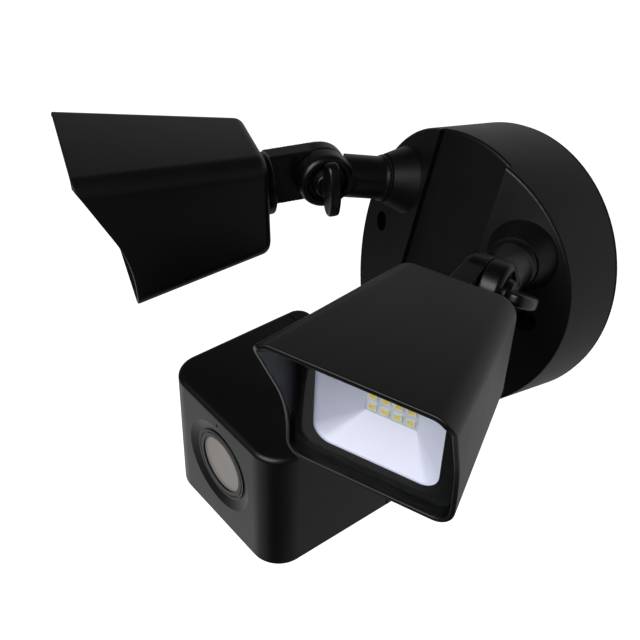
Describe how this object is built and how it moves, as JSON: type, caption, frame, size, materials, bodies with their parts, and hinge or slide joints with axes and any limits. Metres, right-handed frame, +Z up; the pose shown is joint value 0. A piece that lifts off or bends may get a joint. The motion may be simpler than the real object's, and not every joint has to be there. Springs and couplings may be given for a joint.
{
  "type": "security camera",
  "caption": "Wall-mounted security camera: a round base with canted facets carries hooded floodlights on jointed arms and a deep box camera below them.",
  "frame": {"origin": "centre of the base's back face, on the wall plane", "axes": "+Y into the wall, -Y forward out of the wall, +Z up, +X to the right of a person who faces it"},
  "size_m": [0.2508, 0.2055, 0.1791],
  "materials": {
    "case_black": "satin moulded black",
    "camera_black": "satin moulded black",
    "foam_black": "closed-cell foam",
    "steel": "zinc plated",
    "screw_black": "black",
    "ground_green": "green",
    "driver_white": "moulded",
    "terminal_white": "moulded",
    "rubber_black": "matte",
    "sink_aluminium": "extruded",
    "board_white": "solder mask",
    "led_yellow": "phosphor",
    "reflector_white": "bright white",
    "clear_glass": "clear",
    "bezel_black": "printed gloss black",
    "window_tint": "milky tinted",
    "barrel_black": "matte",
    "board_green": "solder mask"
  },
  "bodies": {
    "base": {"base_canopy": "case_black", "wall_gasket": "foam_black", "mounting_plate": "steel", "canopy_screws": "screw_black", "ground_screw": "ground_green", "led_driver": "driver_white", "terminal_block": "terminal_white"},
    "left_arm": {"left_arm": "case_black", "left_arm_seal": "rubber_black", "left_arm_nut": "steel"},
    "left_wing": {"left_wing_screw": "screw_black"},
    "right_arm": {"right_arm": "case_black", "right_arm_seal": "rubber_black", "right_arm_nut": "steel"},
    "right_wing": {"right_wing_screw": "screw_black"},
    "camera_arm": {"camera_arm": "case_black", "camera_arm_seal": "rubber_black", "camera_arm_nut": "steel"},
    "camera_wing": {"camera_wing_screw": "screw_black"},
    "left_light": {"left_bracket": "case_black", "left_knuckle_nut": "steel", "left_bracket_screws": "steel", "left_housing": "case_black", "left_heat_sink": "sink_aluminium", "left_led_board": "board_white", "left_led_chips": "led_yellow", "left_board_screws": "steel", "left_reflector": "reflector_white", "left_lens_gasket": "rubber_black", "left_glass": "clear_glass", "left_bezel": "bezel_black"},
    "right_light": {"right_bracket": "case_black", "right_knuckle_nut": "steel", "right_bracket_screws": "steel", "right_housing": "case_black", "right_heat_sink": "sink_aluminium", "right_led_board": "board_white", "right_led_chips": "led_yellow", "right_board_screws": "steel", "right_reflector": "reflector_white", "right_lens_gasket": "rubber_black", "right_glass": "clear_glass", "right_bezel": "bezel_black"},
    "camera_head": {"camera_bracket": "case_black", "camera_knuckle_nut": "steel", "camera_bracket_screws": "steel", "camera_shell": "camera_black", "camera_rear_cover": "camera_black", "camera_cover_gasket": "rubber_black", "camera_cover_screws": "steel", "camera_lens_ring": "camera_black", "camera_window": "window_tint", "camera_lens_barrel": "barrel_black", "camera_lens_element": "clear_glass", "camera_lens_holder": "barrel_black", "camera_sensor_board": "board_green", "camera_main_board": "board_green", "camera_antenna": "board_green", "camera_microphone": "steel"}
  },
  "joints": [
    {"name": "left_arm_swivel", "type": "hinge", "parent": "base", "child": "left_arm", "pos_m": [-0.0379, -0.04348, 0.028], "axis": [0.342, 0.9397, 0], "range_deg": [-60, 60]},
    {"name": "left_tilt", "type": "hinge", "parent": "left_arm", "child": "left_light", "pos_m": [-0.0525, -0.08361, 0.028], "axis": [0.9389, -0.3417, -0.0419], "range_deg": [-45, 30]},
    {"name": "left_wing_screw_turn", "type": "hinge", "parent": "left_arm", "child": "left_wing", "pos_m": [-0.0525, -0.08361, 0.028], "axis": [0.9389, -0.3417, -0.0419], "range_deg": [0, 360]},
    {"name": "right_arm_swivel", "type": "hinge", "parent": "base", "child": "right_arm", "pos_m": [0.0379, -0.04348, 0.028], "axis": [0.342, -0.9397, 0], "range_deg": [-60, 60]},
    {"name": "right_tilt", "type": "hinge", "parent": "right_arm", "child": "right_light", "pos_m": [0.0525, -0.08361, 0.028], "axis": [0.9358, 0.3406, 0.0906], "range_deg": [-45, 30]},
    {"name": "right_wing_screw_turn", "type": "hinge", "parent": "right_arm", "child": "right_wing", "pos_m": [0.0525, -0.08361, 0.028], "axis": [0.9358, 0.3406, 0.0906], "range_deg": [0, 360]},
    {"name": "camera_arm_swivel", "type": "hinge", "parent": "base", "child": "camera_arm", "pos_m": [0, -0.047, -0.0425], "axis": [0, -1, 0], "range_deg": [-30, 30]},
    {"name": "camera_tilt", "type": "hinge", "parent": "camera_arm", "child": "camera_head", "pos_m": [0, -0.0695, -0.0425], "axis": [0.9999, 0, 0.0157], "range_deg": [-12, 45]},
    {"name": "camera_wing_screw_turn", "type": "hinge", "parent": "camera_arm", "child": "camera_wing", "pos_m": [0, -0.0695, -0.0425], "axis": [0.9999, 0, 0.0157], "range_deg": [0, 360]}
  ]
}
